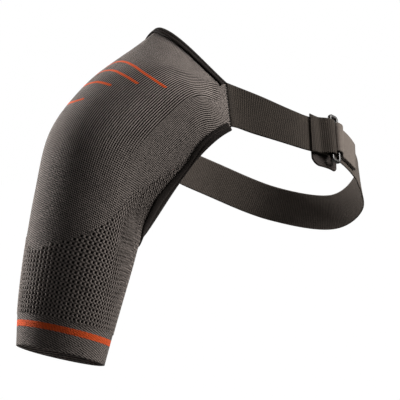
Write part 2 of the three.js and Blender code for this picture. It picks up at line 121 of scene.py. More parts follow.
# Thin lines knitted in over the shoulder: degrees, minus behind, and millimetres from the hem
SHOULDER_LINES = [
    (
        [-53.5, -37.5, -19, -8, 1, 8.5, 19, 28.5, 37.5, 46.5, 53.5],
        [338.2, 348.8, 363.4, 372.5, 373.5, 370.4, 363.4, 355.4, 348.8, 342.6, 338.2],
    ),
    ([-35, -15, -6, 3, 9.5, 15, 25, 35], [333.7, 346.2, 350.7, 351.7, 349.6, 346.2, 340.4, 333.7]),
    ([-18.5, -8.5, -2, 3.5, 10.5, 18.5], [321.0, 323.3, 324.9, 326.4, 325.1, 322.7]),
    ([-26, -4, 1, 5.5], [289.5, 291.6, 293.6, 295.9]),
]

# The studio, in metres
CAMERA_TARGET, CAMERA_SHIFT, SENSOR_WIDTH = Vector((0.185, -0.025, -0.15)), -0.0875, 36.0
LAMP_TARGET, LAMP_SPREAD = Vector((0.05, -0.03, -0.12)), radians(90)
FLOOR_DROP, FLOOR_FADE, DIM_WALL = 0.9, (1.4, 3.2), 0.03


def wrap(angle):
    """The same angle between minus and plus half a turn."""
    return np.arctan2(np.sin(angle), np.cos(angle))


def ease(t):
    t = np.clip(t, 0, 1)
    return t * t * (3 - 2 * t)


def unit(v):
    return v / np.maximum(np.linalg.norm(v, axis=-1, keepdims=True), 1e-9)


def oval(row, a):
    """A ring of the sleeve at angles a, 0 on top or outside and 180 degrees below the armhole."""
    out_x, out_z, in_x, in_z, mid_x, mid_z, front, back, _ = row
    c, s = np.cos(a), np.sin(a)
    x = (out_x + in_x) / 2 + (out_x - in_x) / 2 * c + (mid_x - (out_x + in_x) / 2) * s**4
    z = (out_z + in_z) / 2 + (out_z - in_z) / 2 * c + (mid_z - (out_z + in_z) / 2) * s**4
    depth = np.where(s > 0, front, back)
    return np.stack([x * ARM_DROP, -s * depth * ARM_BREADTH, z * ARM_DROP], -1)


def bezier(p, t):
    """Cubic curve with end and handle points p, at t from 0 to 1."""
    t = t[..., None]
    return p[0] * (1 - t) ** 3 + 3 * p[1] * t * (1 - t) ** 2 + 3 * p[2] * t * t * (1 - t) + p[3] * t**3


def edge_loop(a):
    """The upper edge: neck edge, the two tips that take the strap, and the armhole."""
    size = np.array([CAPE_REACH, ARM_BREADTH, ARM_DROP])
    turn = np.abs(wrap(a))
    peak, pit = np.array(NECK_TOP) * size, np.array(ARMPIT) * size
    line = np.zeros(a.shape + (3,))
    for side, table in ((np.sin(a) >= 0, FRONT_EDGE), (np.sin(a) < 0, BACK_EDGE)):
        ridge, neck, top, bottom, upper, lower = [np.array(p) * size for p in table]
        neck_line = bezier([peak, ridge, neck, top], np.clip(turn / TIP_START, 0, 1))
        t = np.clip((turn - TIP_START) / (TIP_END - TIP_START), 0, 1)[..., None]
        tip = top * (1 - t) + bottom * t
        hole_share = np.clip((turn - TIP_END) / (pi - TIP_END), 0, 1)
        hole = bezier([bottom, upper, lower, pit], 1 - (1 - hole_share) ** CROWDING)
        beyond_neck = np.where((turn <= TIP_END)[..., None], tip, hole)
        half = np.where((turn <= TIP_START)[..., None], neck_line, beyond_neck)
        line = np.where(side[..., None], half, line)
    return line


def spline(points, t):
    """Centripetal Catmull-Rom curves through points (n, k, 3) at t (n, m) from 0 to 1."""
    k = points.shape[1]
    first = 2 * points[:, :1] - points[:, 1:2]
    last = 2 * points[:, -1:] - points[:, -2:-1]
    p = np.concatenate([first, points, last], 1)
    x = np.clip(t, 0, 1) * (k - 1)
    i = np.minimum(x.astype(int), k - 2)
    w = (x - i)[..., None]
    n = np.arange(points.shape[0])[:, None]
    a, b, c, d = (p[n, i + j] for j in range(4))

    def knot(u, v):
        return np.maximum(np.sum((u - v) ** 2, -1) ** 0.25, 1e-4)[..., None]

    d0, d1, d2 = knot(a, b), knot(b, c), knot(c, d)
    t1 = ((b - a) / d0 - (c - a) / (d0 + d1) + (c - b) / d1) * d1
    t2 = ((c - b) / d1 - (d - b) / (d1 + d2) + (d - c) / d2) * d1
    return b + t1 * w + (-3 * b + 3 * c - 2 * t1 - t2) * w**2 + (2 * b - 2 * c + t1 + t2) * w**3


def arc_table(points, count=240):
    """Even steps of t along splines, and the distance gone along each at them."""
    t = np.broadcast_to(np.linspace(0, 1, count + 1), (points.shape[0], count + 1))
    line = spline(points, t)
    steps = np.linalg.norm(np.diff(line, axis=1), axis=-1)
    return t, np.concatenate([np.zeros((len(line), 1)), np.cumsum(steps, 1)], 1)


def wale_points(a):
    """Points that the wale at each angle runs through, from the hem to the upper edge."""
    edge = edge_loop(a)
    axilla = oval(RINGS[AXILLA], a)
    rows = []
    for row in RINGS:
        free = oval(row, a)
        if row[8]:
            fanned = axilla + (edge - axilla) * row[8]
            share = ease((np.abs(wrap(a)) - FAN_START) / (FAN_END - FAN_START))[:, None]
            free = free + (fanned - free) * share
        rows.append(free)
    return np.stack(rows + [edge], 1)


def skin(angles, shares):
    """Outer face of the knit at angles (n,) and shares (n, m) of each wale, with the wales' lengths."""
    points = wale_points(angles)
    t, gone = arc_table(points)
    at = np.stack([np.interp(s * g[-1], g, tt) for s, g, tt in zip(shares, gone, t)])
    return spline(points, at), gone[:, -1]


def skin_at(angles, shares):
    """Points of the outer face, one for each angle and share."""
    return skin(angles, shares[:, None])[0][:, 0]


def tangents(angles, shares):
    """How the outer face runs with the angle and with the share, and its normals."""
    turn, share = radians(0.5), 0.01
    low = np.minimum(shares, 1 - share) - share / 2
    around = (skin_at(angles + turn, shares) - skin_at(angles - turn, shares)) / (2 * turn)
    along = (skin_at(angles, low + share) - skin_at(angles, low)) / share
    return around, along, unit(np.cross(around, along))


def evened(rows, passes=6):
    """Rows averaged with their neighbours, and the ends left as they are."""
    for _ in range(passes):
        rows = np.concatenate([rows[:1], (rows[:-2] + 2 * rows[1:-1] + rows[2:]) / 4, rows[-1:]])
    return rows


def from_edge(angles, distance):
    """Walks from the upper edge into the knit, square to the edge: points and normals."""
    turn, stride, least = 0.01, 3, 0.12
    shares = np.ones_like(angles)
    here = angles.copy()
    edge = unit(skin_at(angles + turn, shares) - skin_at(angles - turn, shares))
    steps = int(np.ceil(np.max(distance) / stride))
    for _ in range(steps):
        around, along, out = tangents(here, shares)
        inward = unit(np.cross(edge, out)) * (np.asarray(distance)[..., None] / steps)
        inward *= np.where(np.sum(inward * along, -1, keepdims=True) > 0, -1, 1)
        aa, bb, ab = (np.sum(u * v, -1) for u, v in ((around, around), (along, along), (around, along)))
        p, q = np.sum(around * inward, -1), np.sum(along * inward, -1)
        # Where wales run nearly along the edge, they are followed only a little way
        det = np.maximum(aa * bb - ab * ab, least * aa * bb)
        here = here + (p * bb - q * ab) / det
        shares = shares + (q * aa - p * ab) / det
    return evened(skin_at(here, np.minimum(shares, 1))), unit(evened(tangents(here, shares)[2]))


def gone_along(line):
    """The distance gone along a line of points, at each of them."""
    return np.concatenate([[0], np.cumsum(np.linalg.norm(np.diff(line, axis=0), axis=-1))])


class Route:
    """The strap's way from the front tip of the sleeve round to the back tip."""

    def __init__(self):
        self.tips = [self.tip(1), self.tip(-1)]
        (front, _, _, front_away), (back, _, _, back_away) = self.tips
        chest = np.array([CHEST_HALF_BREADTH, CHEST_HALF_DEPTH, STRAP_FALL])
        middle = [np.array(row[:3]) * chest + (CHEST_OFFSET, -CHEST_FORWARD, 0) for row in STRAP_STATIONS]
        points = [front, front + front_away * STRAP_LEAD, *middle, back + back_away * STRAP_LEAD, back]
        self.points = np.array(points)[None]
        self.t, self.gone = arc_table(self.points, 3000)
        self.length = self.gone[0, -1]

    def tip(self, sign):
        """Middle of the front (1) or back (-1) tip, with its ways up, out and away from the sleeve."""
        one = np.ones(1)
        top, bottom = (skin_at(np.array([a * sign]), one)[0] for a in (TIP_START, TIP_END))
        out = tangents(np.array([(TIP_START + TIP_END) / 2 * sign]), one)[2][0]
        up = unit(top - bottom)
        away = unit(np.cross(up, out) * sign)
        return (top + bottom) / 2 + away * 2 * SEAM_GAP, up, out, away

    def frame_at(self, s):
        """Places at s along the strap, with its ways up and out there."""
        s = np.clip(s, 0, self.length)
        t = np.interp(s, self.gone[0], self.t[0])
        here = spline(self.points, t[None])[0]
        step = 1e-4
        along = unit(spline(self.points, t[None] + step)[0] - spline(self.points, t[None] - step)[0])
        level = unit(np.cross(along, np.array([0.0, 0.0, 1.0])))
        rise = np.cross(level, along)
        # Two points lie before the first station and two after the last
        station = t * (len(STRAP_STATIONS) + 3) - 2
        leans = [radians(row[3]) for row in STRAP_STATIONS]
        lean = np.interp(station, range(len(leans)), leans)[:, None]
        up = rise * np.cos(lean) - level * np.sin(lean)
        out = np.cross(along, up)
        turning = STRAP_WIDTH * 1.2
        for (_, tip_up, tip_out, _), distance in zip(self.tips, (s, self.length - s)):
            share = (1 - ease(distance / turning))[:, None]
            up = up + (tip_up - up) * share
            out = out + (tip_out - out) * share
        return here, unit(up), unit(out)

    def place(self, s, out, across):
        """Points at s along the strap, out from its outer face and across it upwards."""
        s, out, across = np.broadcast_arrays(*(np.asarray(v, float) for v in (s, out, across)))
        here, up, normal = self.frame_at(s.ravel())
        points = here + normal * out.ravel()[:, None] + up * across.ravel()[:, None]
        return points.reshape(s.shape + (3,))


ROUTE = Route()
BAR_MIDDLE = LOOP_THICKNESS + SEAM_GAP + BAR_GAP + RING_BAR / 2
NEAR_BAR, FAR_BAR = RING_STATION, RING_STATION + RING_LENGTH - RING_BAR


# Mesh tools
def corner_vertices(mesh):
    corners = np.empty(len(mesh.loops), dtype=np.int32)
    mesh.loops.foreach_get("vertex_index", corners)
    return corners


def surface(name, points, uv, close_rows=False, cap=False, attributes=None):
    """A grid drawn over points (rows, columns, 3) in millimetres, closed where it meets itself."""
    if close_rows:
        points, uv = np.concatenate([points, points[:1]]), np.concatenate([uv, uv[-1:]])
    rows, columns = points.shape[:2]
    bm = bmesh.new()
    bmesh.ops.create_grid(bm, x_segments=columns - 1, y_segments=rows - 1, size=1.0)
    mesh = bpy.data.meshes.new(name)
    bm.to_mesh(mesh)
    bm.free()
    mesh.vertices.foreach_set("co", (points * MM).astype(np.float32).ravel())
    layer = mesh.uv_layers.new(name="cloth")
    layer.data.foreach_set("uv", uv.reshape(-1, 2).astype(np.float32)[corner_vertices(mesh)].ravel())
    for key, values in (attributes or {}).items():
        if close_rows:
            values = np.concatenate([values, values[:1]])
        attribute = mesh.attributes.new(key, "FLOAT", "POINT")
        attribute.data.foreach_set("value", values.astype(np.float32).ravel())
    bm = bmesh.new()
    bm.from_mesh(mesh)
    bmesh.ops.remove_doubles(bm, verts=bm.verts, dist=1e-6)
    if cap:
        bmesh.ops.holes_fill(bm, edges=[e for e in bm.edges if e.is_boundary], sides=0)
    bmesh.ops.recalc_face_normals(bm, faces=bm.faces)
    volume = sum(f.calc_center_median().dot(f.normal) * f.calc_area() for f in bm.faces)
    if volume < 0 and (cap or close_rows):
        bmesh.ops.reverse_faces(bm, faces=bm.faces)
    bm.to_mesh(mesh)
    bm.free()
    mesh.polygons.foreach_set("use_smooth", [True] * len(mesh.polygons))
    piece = bpy.data.objects.new(name, mesh)
    bpy.context.scene.collection.objects.link(piece)
    return piece


def dress(piece, material, node):
    """Gives a piece its material, and lets it stand for its node on the root body."""
    piece.data.materials.append(material)
    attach(piece, "root")
    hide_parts(node)


# Shader tools
class Value:
    """A node's output socket, or a number, that expressions can be written with."""

    def __init__(self, shader, socket):
        self.shader, self.socket = shader, socket

    def math(self, operation, *others):
        inputs = dict(enumerate((self, *others)))
        return self.shader.node("ShaderNodeMath", {"operation": operation}, inputs)

    def __add__(self, other):
        return self.math("ADD", other)

    __radd__ = __add__

    def __mul__(self, other):
        return self.math("MULTIPLY", other)

    __rmul__ = __mul__

    def __sub__(self, other):
        return self.math("SUBTRACT", other)

    def __rsub__(self, other):
        return self * -1 + other

    def __truediv__(self, other):
        return self.math("DIVIDE", other)

    def __abs__(self):
        return self.math("ABSOLUTE")

    def wave(self):
        """A cosine from 0 to 1, with its crest at whole numbers."""
        return (self * tau).math("COSINE") * 0.5 + 0.5

    def step(self, low, high):
        """Smooth rise from 0 at low to 1 at high."""
        settings = {"interpolation_type": "SMOOTHSTEP"}
        inputs = {"Value": self, "From Min": low, "From Max": high}
        return self.shader.node("ShaderNodeMapRange", settings, inputs)


class Shader:
    """The node tree of a material, or of a world."""

    def __init__(self, name, kind="materials"):
        self.material = getattr(bpy.data, kind).new(name)
        self.material.use_nodes = True
        self.tree = self.material.node_tree
        self.tree.nodes.clear()

    def node(self, kind, settings=None, inputs=None, out=0):
        """A new node of a kind, its settings first, then the values or links of its sockets."""
        made = self.tree.nodes.new(kind)
        for key, value in (settings or {}).items():
            setattr(made, key, value)
        for key, value in (inputs or {}).items():
            if isinstance(value, Value):
                self.tree.links.new(value.socket, made.inputs[key])
            else:
                made.inputs[key].default_value = value
        return Value(self, made.outputs[out]) if len(made.outputs) else None

    def mix(self, factor, first, second):
        settings = {"data_type": "RGBA"}
        first, second = (v if isinstance(v, Value) else tuple(v)[:3] + (1.0,) for v in (first, second))
        return self.node("ShaderNodeMix", settings, {0: factor, 6: first, 7: second}, out=2)

    def uv(self, name="cloth"):
        pair = self.node("ShaderNodeUVMap", {"uv_map": name})
        split = self.node("ShaderNodeSeparateXYZ", None, {0: pair})
        return split, Value(self, split.socket.node.outputs[1])

    def attribute(self, name):
        return self.node("ShaderNodeAttribute", {"attribute_name": name}, None, out="Fac")

    def noise(self, scale, detail, stretch=None):
        place = self.node("ShaderNodeTexCoord", None, None, out="Object")
        if stretch:
            place = self.node("ShaderNodeMapping", None, {"Vector": place, "Scale": stretch})
        return self.node("ShaderNodeTexNoise", None, {"Vector": place, "Scale": scale, "Detail": detail})

    def finish(self, colour, roughness, relief, depth, strength, sheen=0, tint=None, coat=0, gloss=0.12):
        """Closes the tree with this colour, roughness and relief, and returns its material."""
        bump = {"Height": relief, "Distance": depth, "Strength": strength}
        inputs = {"Base Color": colour, "Roughness": roughness, "Specular IOR Level": gloss}
        inputs["Normal"] = self.node("ShaderNodeBump", None, bump)
        if sheen:
            inputs.update({"Sheen Weight": sheen, "Sheen Roughness": 0.5, "Sheen Tint": (*tint, 1.0)})
        if coat:
            inputs["Coat Weight"] = coat
        shaded = self.node("ShaderNodeBsdfPrincipled", None, inputs)
        self.node("ShaderNodeOutputMaterial", None, {"Surface": shaded})
        return self.material


def toned(colour, share):
    """A colour, darker or lighter."""
    return tuple(v * share for v in colour)


def stitched(along, across, place, half, end):
    """A dashed row of stitches across a piece, at a place along it."""
    return (1 - abs(along - place).step(half, end)) * (across / STITCH_PITCH).wave().step(0.2, 0.45)


def colour_property(name, description, default):
    return bpy.props.FloatVectorProperty(
        name=name, description=description, default=default, size=3, min=0, max=1, subtype="COLOR"
    )


def number_property(name, description, default, **kind):
    return bpy.props.FloatProperty(name=name, description=description, default=default, **kind)


def length_property(name, description, default):
    return number_property(name, description, default, min=0, unit="LENGTH")


class KnitSettings(bpy.types.PropertyGroup):
    """Sizes and colours of the knitted sleeve."""

    dimple_width: length_property("Dimple width", "Width of one cell of the dimpled knit", 0.00535)
    dimple_height: length_property("Dimple height", "Height of one cell of the dimpled knit", 0.0052)
    dimples: bpy.props.IntProperty(name="Dimples", description="Cells round the sleeve", default=73, min=20)
    dimple_depth: length_property("Dimple depth", "Depth of a dimple", 0.0014)
    relief: length_property("Dimpled rise", "Height of the dimpled knit over the plain knit", 0.0007)
    wales: bpy.props.IntProperty(name="Wales", description="Wales round the sleeve", default=192, min=40)
    stripe_low: length_property("Stripe foot", "Height of the stripe's lower edge over the hem", 0.022)
    stripe_high: length_property("Stripe top", "Height of the stripe's upper edge over the hem", 0.0289)
    course: length_property("Course", "Height of one plain course", 0.0024)
    line_width: length_property("Line width", "Width of the thin lines over the shoulder", 0.0036)
    yarn: colour_property("Yarn", "Colour of the raised yarn", (0.285, 0.243, 0.222))
    # Groove and hole are painted shade: near-black colours for the recesses between the wales and in the
    # dimples.
    groove: colour_property("Groove", "Colour between the wales", (0.003, 0.0025, 0.0022))
    hole: colour_property("Hole", "Colour in the dimples", (0.004, 0.0033, 0.003))
    stripe: colour_property("Stripe", "Colour of the stripe and the thin lines", (1.0, 0.13, 0.026))


class BindingSettings(bpy.types.PropertyGroup):
    """Sizes and colours of the two bindings."""

    stitch: length_property("Stitch length", "Length of one stitch along the binding", 0.0026)
    crown: length_property("Crown", "Height of the two rolls of the binding", 0.001)
    colour: colour_property("Tape", "Colour of the tape", (0.0115, 0.0085, 0.0072))
    thread: colour_property("Thread", "Colour of its thread", (0.03, 0.023, 0.019))


class StrapSettings(bpy.types.PropertyGroup):
    """Sizes and colours of the elastic strap and the ring's loop."""

    rib: length_property("Rib pitch", "Distance between the cross ribs", 0.0025)
    warp: length_property("Warp pitch", "Distance between the lengthwise threads", 0.0014)
    front: colour_property("Front strap", "Colour of the front strap", (0.036, 0.0285, 0.023))
    back: colour_property("Back strap", "Colour of the back strap", (0.075, 0.062, 0.053))
    thread: colour_property("Thread", "Colour of the sewing thread", (0.012, 0.009, 0.008))
    velour: colour_property("Velour", "Colour of the ring's loop", (0.13, 0.108, 0.094))


class HardwareSettings(bpy.types.PropertyGroup):
    """Sizes and colours of the ring and its pad."""

    roundness: number_property("Roundness", "Squareness of the bar, 2 is round", 3.2, min=2, max=8)
    ring: colour_property("Ring", "Colour of the moulded ring", (0.0125, 0.0098, 0.0085))
    pad: colour_property("Pad", "Colour of the pad", (0.026, 0.0185, 0.0165))
    fill: number_property("Fill", "How full the pad is", 0.45, min=0, max=1, subtype="FACTOR")


class StudioSettings(bpy.types.PropertyGroup):
    """The floor, the lights and the camera."""

    distance: length_property("Distance", "Camera to the middle of the brace", 2.5)
    azimuth: number_property("Azimuth", "Camera's turn from the front", radians(-42), subtype="ANGLE")
    elevation: number_property("Elevation", "Camera's height over level", radians(1.5), subtype="ANGLE")
    lens: number_property("Focal length", "Lens of the camera", 184.4, min=1, unit="CAMERA")
    floor: colour_property("Floor", "Colour of the floor", (0.86, 0.86, 0.86))
    floor_radius: length_property("Floor radius", "Reach of the floor", 60.0)


def knit_material(look):
    """Plain wales, dimples, the stripe and the thin lines, over the sleeve's own wales and courses, with
    painted shade between the wales and in the dimples.
    """
    s = Shader("ribbed_and_dimpled_knit")
    wale, height = s.uv("cloth")
    cell_across, cell_up = s.uv("cells")
    keys = ("dimpled", "widened", "line_gap", "margin")
    dimpled, widened, gap, margin = (s.attribute(key) for key in keys)
    mottled = s.noise(90.0, 3.0)
    fuzz = s.noise(900.0, 2.0)

    ribs = wale.wave() * (1 - widened) + (wale * 2).wave() * widened
    courses = (height / (look.course / MM) + wale * 0.25).wave()
    upper = height.step(200, 290)
    plain = (ribs * (upper * 0.35 + 0.5) + courses * (0.5 - upper * 0.35)).step(0.3, 0.72)
    column, row = cell_across.wave() * 2 - 1, 1 - cell_up.wave() * 2
    mesh = (column * 0.3 + column * row * 0.7).step(-0.55, 0.65)
    raised = plain * (1 - dimpled) + mesh * dimpled
    tone = raised * (mottled * 0.5 + 0.72)
    # Painted shade: where the wales, courses and dimple ridges fall low, the colour goes to the near-black
    # groove or hole colour.
    painted_recess_shade = s.mix(dimpled, look.groove, look.hole)
    cloth = s.mix(tone, painted_recess_shade, look.yarn)
    low, high = look.stripe_low / MM, look.stripe_high / MM
    wavy = height + wale.wave() * 0.7
    band = wavy.step(low - 0.3, low + 0.5) * (1 - height.step(high - 0.5, high + 0.4))
    half = look.line_width / MM / 2
    line = 1 - gap.step(half - 0.45, half + 0.35)
    marked = band.math("MAXIMUM", line)
    # Painted shade on the stripe: it goes darker between the wales.
    orange = s.mix(wale.wave() * 0.75 + fuzz * 0.25, toned(look.stripe, 0.4), look.stripe)
    colour = s.mix(marked, cloth, orange)
    # Along the sewn upper edge the knit takes the groove colour, toothed at each wale: partly the seam's
    # stitching, partly painted shade at the joint.
    sewn = 1 - (margin + wale.wave() * 0.9).step(1.1, 2.3)
    colour = s.mix(sewn, colour, look.groove)
    relief = raised + fuzz * 0.25 + marked * 0.3
    return s.finish(colour, fuzz * 0.12 + 0.82, relief, 0.0007, 0.75, sheen=0.08, tint=(0.6, 0.55, 0.5))


def tape_material(look):
    """Fine ribs in two rolls, with a stitched groove between them."""
    s = Shader("folded_binding_tape")
    along, across = s.uv()
    fuzz = s.noise(700.0, 2.0)
    ribs = (along / 1.1).wave() * 0.5 + (across / 0.9).wave() * 0.5
    groove = 1 - abs(across).step(0.25, 0.8)
    stitch = (along / (look.stitch / MM)).wave().step(0.35, 0.6)
    seam = groove * stitch
    cloth = s.mix(ribs * 0.6 + fuzz * 0.4, toned(look.colour, 0.45), toned(look.colour, 1.5))
    cloth = s.mix(seam, cloth, look.thread)
    relief = ribs * 0.5 + fuzz * 0.3 - groove * 0.8 + seam * 1.1
    return s.finish(cloth, fuzz * 0.15 + 0.75, relief, 0.0005, 0.8, sheen=0.06, tint=(0.6, 0.5, 0.45))


def webbing_material(name, look, colour, rows, soft=0.0):
    """Cross-ribbed elastic, sewn across in rows at these places along it."""
    s = Shader(name)
    along, across = s.uv()
    fuzz = s.noise(800.0, 2.0)
    mottled = s.noise(60.0, 3.0)
    offset = (across / (look.warp / MM)).math("FLOOR") * 0.5
    ribs = (along / (look.rib / MM)).wave()
    threads = (across / (look.warp / MM)).wave() * 0.5 + 0.5
    twill = (along / (look.rib / MM) + offset).wave()
    weave = ribs * 0.55 + twill * threads * 0.45
    tone = weave * (mottled * 0.5 + 0.65) + fuzz * 0.2
    # Painted shade and highlight: the weave's low places take a darker copy of the strap colour and its
    # raised threads a lighter one, mottled at random.
    lit = tone.step(0.1, 0.85) * (1 - soft) + soft * 0.55
    cloth = s.mix(lit, toned(colour, 0.25), toned(colour, 1.6))
    first, *others = (stitched(along, across, place, 0.28, 0.6) for place in rows)
    sewn = first
    for row in others:
        sewn = sewn.math("MAXIMUM", row)
    cloth = s.mix(sewn, cloth, look.thread)
    relief = weave * (1 - soft * 0.7) + fuzz * 0.25 - sewn * 0.8
    return s.finish(cloth, fuzz * 0.1 + 0.8, relief, 0.00045, 0.7, sheen=0.06, tint=(0.7, 0.62, 0.55))


def velour_material(look):
    """Brushed pile with one sewn row near its end."""
    s = Shader("brushed_velour")
    along, across = s.uv()
    pile = s.noise(1500.0, 3.0)
    brushed = s.noise(140.0, 3.0, stretch=(1.0, 1.0, 3.0))
    tone = pile * 0.45 + brushed * 0.55
    cloth = s.mix(tone, toned(look.velour, 0.6), toned(look.velour, 1.3))
    sewn = stitched(along, across, 3.0, 0.3, 0.7)
    cloth = s.mix(sewn, cloth, look.thread)
    relief = pile * 0.6 + brushed * 0.4 - sewn
    return s.finish(cloth, pile * 0.1 + 0.85, relief, 0.0003, 0.6, sheen=0.2, tint=(0.8, 0.72, 0.65))


def pad_material(look):
    """Fine laminated cloth, a little worn."""
    s = Shader("laminated_pad")
    along, across = s.uv()
    grain = s.noise(1100.0, 2.0)
    worn = s.noise(70.0, 3.0)
    face = (along / 1.6).wave() * (across / 1.6).wave()
    tone = face * 0.25 + grain * 0.35 + worn * 0.4
    cloth = s.mix(tone, toned(look.pad, 0.6), toned(look.pad, 1.6))
    relief = face * 0.4 + grain * 0.6
    return s.finish(cloth, worn * 0.2 + 0.6, relief, 0.0002, 0.5, sheen=0.08, tint=(0.8, 0.7, 0.65))


def ring_material(look):
    """Dark moulded plastic with a faint shine."""
    s = Shader("glossy_moulded_ring")
    smear = s.noise(60.0, 3.0)
    speck = s.noise(900.0, 2.0)
    colour = s.mix(smear, toned(look.ring, 0.75), toned(look.ring, 1.5))
    roughness = smear * 0.12 + speck * 0.05 + 0.26
    return s.finish(colour, roughness, smear * 0.6 + speck * 0.4, 0.00004, 0.4, coat=0.12, gloss=0.4)


class BRACE_OT_knit(bpy.types.Operator):
    """Knits the sleeve with its cuff, stripe, dimpled zone and shoulder cap"""

    bl_idname = "brace.knit"
    bl_label = "Knitted Sleeve"

    def execute(self, context):
        look = context.scene.brace_knit
        columns, rows, inside = 320, 250, 22
        cell, tall = look.dimple_width / MM, look.dimple_height / MM
        angles = np.linspace(0, tau, columns + 1)
        shares = np.broadcast_to(np.linspace(0, 1, rows + 1), (columns + 1, rows + 1))
        outer, lengths = skin(angles, shares)
        outer[-1] = outer[0]
        around = np.empty_like(outer)
        around[1:-1] = outer[2:] - outer[:-2]
        around[0] = around[-1] = outer[1] - outer[-2]
        normals = unit(np.cross(around, np.gradient(outer, axis=1)))
        course = shares * lengths[:, None]
        wale = np.broadcast_to((angles / tau * look.wales)[:, None], course.shape)
        turn = np.degrees(np.abs(wrap(angles)))[:, None]
        to_edge = lengths[:, None] - course

        # Cells of the dimpled knit, a whole number round the sleeve and of even width towards the armhole
        count = look.dimples
        steps = np.linalg.norm(np.diff(outer, axis=0), axis=-1)
        arc = np.concatenate([np.zeros((1, rows + 1)), np.cumsum(steps, 0)])
        closed = arc / arc[-1] * count
        half, anchor = columns // 2, columns // 4
        opened = closed.copy()
        opened[: half + 1] = count / 4 + (arc[: half + 1] - arc[anchor]) / cell
        opened[half + 1 :] = count * 3 / 4 + (arc[half + 1 :] - arc[-1 - anchor]) / cell
        open_share = ease((shares - 0.25) / 0.2)
        across = closed * (1 - open_share) + opened * open_share
        up = course / tall
        # A cell is dimpled or plain as a whole, by where its centre lies
        centre_up = (np.floor(up) + 0.5) * tall
        shift = (np.floor(across) + 0.5 - across) / count * 360
        centre_turn = turn + np.sign(np.sin(angles))[:, None] * shift
        top = np.interp(np.clip(centre_turn, 0, DIMPLED_TOP[0][-1]), *DIMPLED_TOP)
        in_zone = (centre_up < top) & (centre_up > look.stripe_high / MM + PLAIN_OVER_STRIPE)
        dimpled = in_zone * ease((to_edge - PLAIN_MARGIN) / 3.0)
        spread = np.linalg.norm(around, axis=-1) / (2 * look.wales / columns)
        widened = ease((spread / 2.1 - 1.25) / 0.35)

        gap = np.full(course.shape, FAR_AWAY)
        signed = np.degrees(wrap(angles))[:, None]
        for degrees, heights in SHOULDER_LINES:
            middle = np.interp(signed, degrees, heights)
            past = np.maximum(np.maximum(signed - degrees[-1], degrees[0] - signed), 0)
            gap = np.minimum(gap, np.hypot(course - middle, past * spread / 360 * look.wales))

        right = (across % 1 - 0.5) * cell
        rise = (up % 1 - 0.5) * tall
        slanted = np.sqrt(0.35 * (right - rise) ** 2 + 0.68 * (right + rise) ** 2)
        hollow = 1 - ease((slanted - 0.9) / 1.3)
        lift = dimpled * (look.relief - hollow * look.dimple_depth) / MM
        face = outer + normals * lift[..., None]
        inner_rows = np.linspace(rows, 0, inside + 1).astype(int)
        inner = outer[:, inner_rows] - normals[:, inner_rows] * KNIT_WALL
        top_rim = (outer[:, -1] + inner[:, 0]) / 2 + unit(outer[:, -1] - outer[:, -2]) * RIM_CROWN
        hem_rim = (outer[:, 0] + inner[:, -1]) / 2 - unit(outer[:, 1] - outer[:, 0]) * RIM_CROWN
        points = np.concatenate([face, top_rim[:, None], inner, hem_rim[:, None], face[:, :1]], 1)

        def along_wale(values, backs=None):
            """Values on the outer face, the upper rim, the inner face and the hem."""
            backs = values[:, inner_rows] if backs is None else backs
            return np.concatenate([values, values[:, -1:], backs, values[:, :1], values[:, :1]], 1)

        nothing = np.zeros((columns + 1, inside + 1))
        uv = np.stack([along_wale(wale), along_wale(course)], -1)
        attributes = {
            "dimpled": along_wale(dimpled, nothing),
            "widened": along_wale(widened),
            "line_gap": along_wale(gap, nothing + FAR_AWAY),
            "margin": along_wale(to_edge, nothing + FAR_AWAY),
            "cell_across": along_wale(across),
            "cell_up": along_wale(up),
        }
        piece = surface("knitted_sleeve", points, uv, attributes=attributes)
        mesh = piece.data
        corners = corner_vertices(mesh)
        cells = []
        for key in ("cell_across", "cell_up"):
            values = np.empty(len(mesh.vertices), dtype=np.float32)
            mesh.attributes[key].data.foreach_get("value", values)
            cells.append(values[corners])
            mesh.attributes.remove(mesh.attributes[key])
        # The last column of cells ends where the first begins
        first = cells[0].reshape(-1, 4)
        wrapped = (first.max(1) - first.min(1) > count / 2)[:, None] & (first < count / 2)
        first += np.where(wrapped, count, 0)
        layer = mesh.uv_layers.new(name="cells")
        layer.data.foreach_set("uv", np.stack([first.ravel(), cells[1]], -1).ravel())
        dress(piece, knit_material(look), "knit_sleeve")
        return {"FINISHED"}


